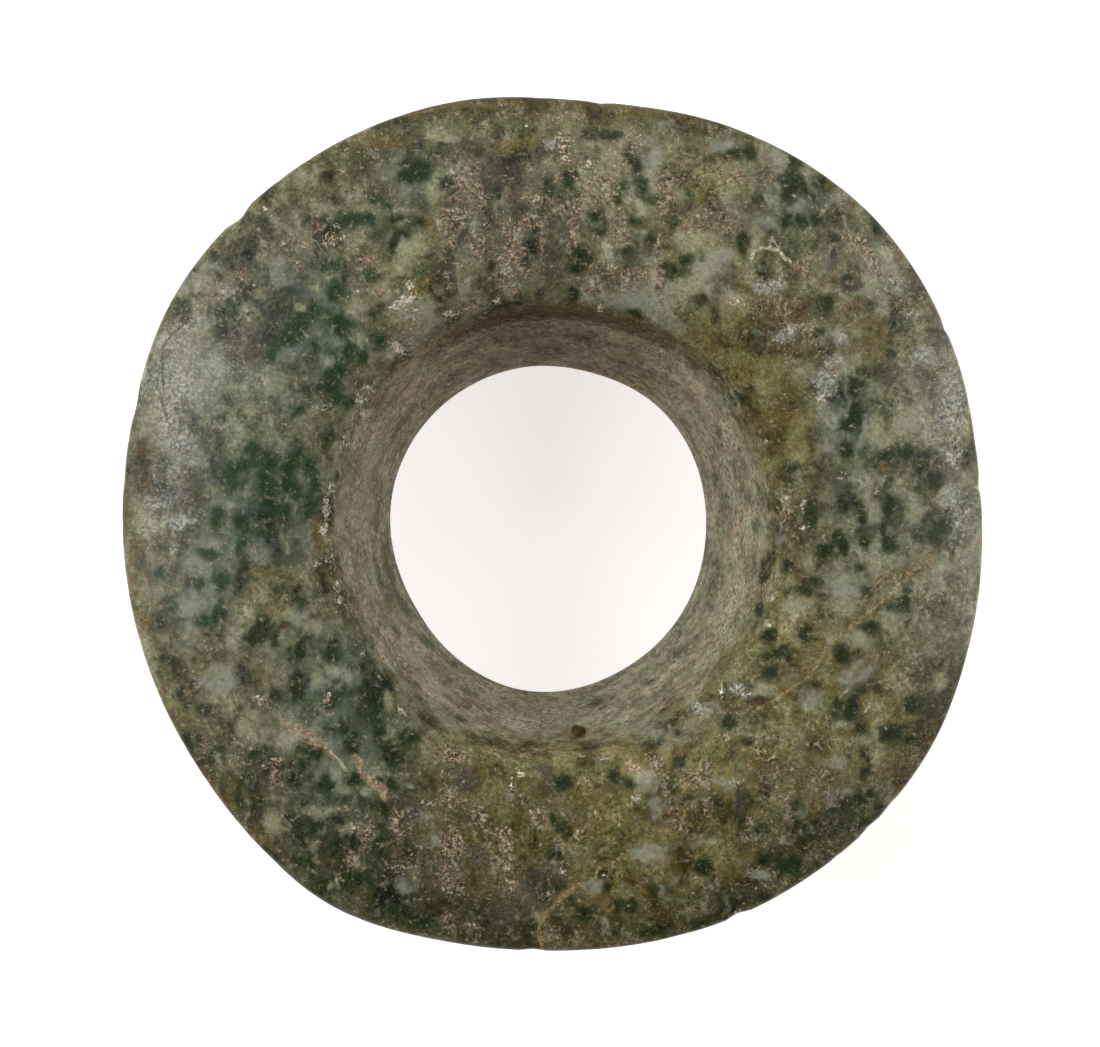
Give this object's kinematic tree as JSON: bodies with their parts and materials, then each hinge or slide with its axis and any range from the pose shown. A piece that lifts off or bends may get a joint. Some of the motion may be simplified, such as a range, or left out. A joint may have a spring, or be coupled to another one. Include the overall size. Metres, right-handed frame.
{
  "type": "jade ear flare",
  "caption": "Carved jade ear flare: a thin round flare with a softly domed face, an open throat that narrows into a short tubular stem, and a small drilled tie hole.",
  "frame": {"origin": "middle of the rim's outline, at the height of the stem's flat end, on which the flare lies", "axes": "+Z out of the domed face, along the throat; +X to the right and +Y to the top of the face as it is pictured"},
  "size_m": [0.0698, 0.0693, 0.024],
  "materials": {
    "jade": "mottled dark and pale green jade, hand polished and worn to a soft waxy gloss, with tan burial crust in its pits"
  },
  "bodies": {
    "root": {"ear_flare": "jade"}
  },
  "joints": []
}
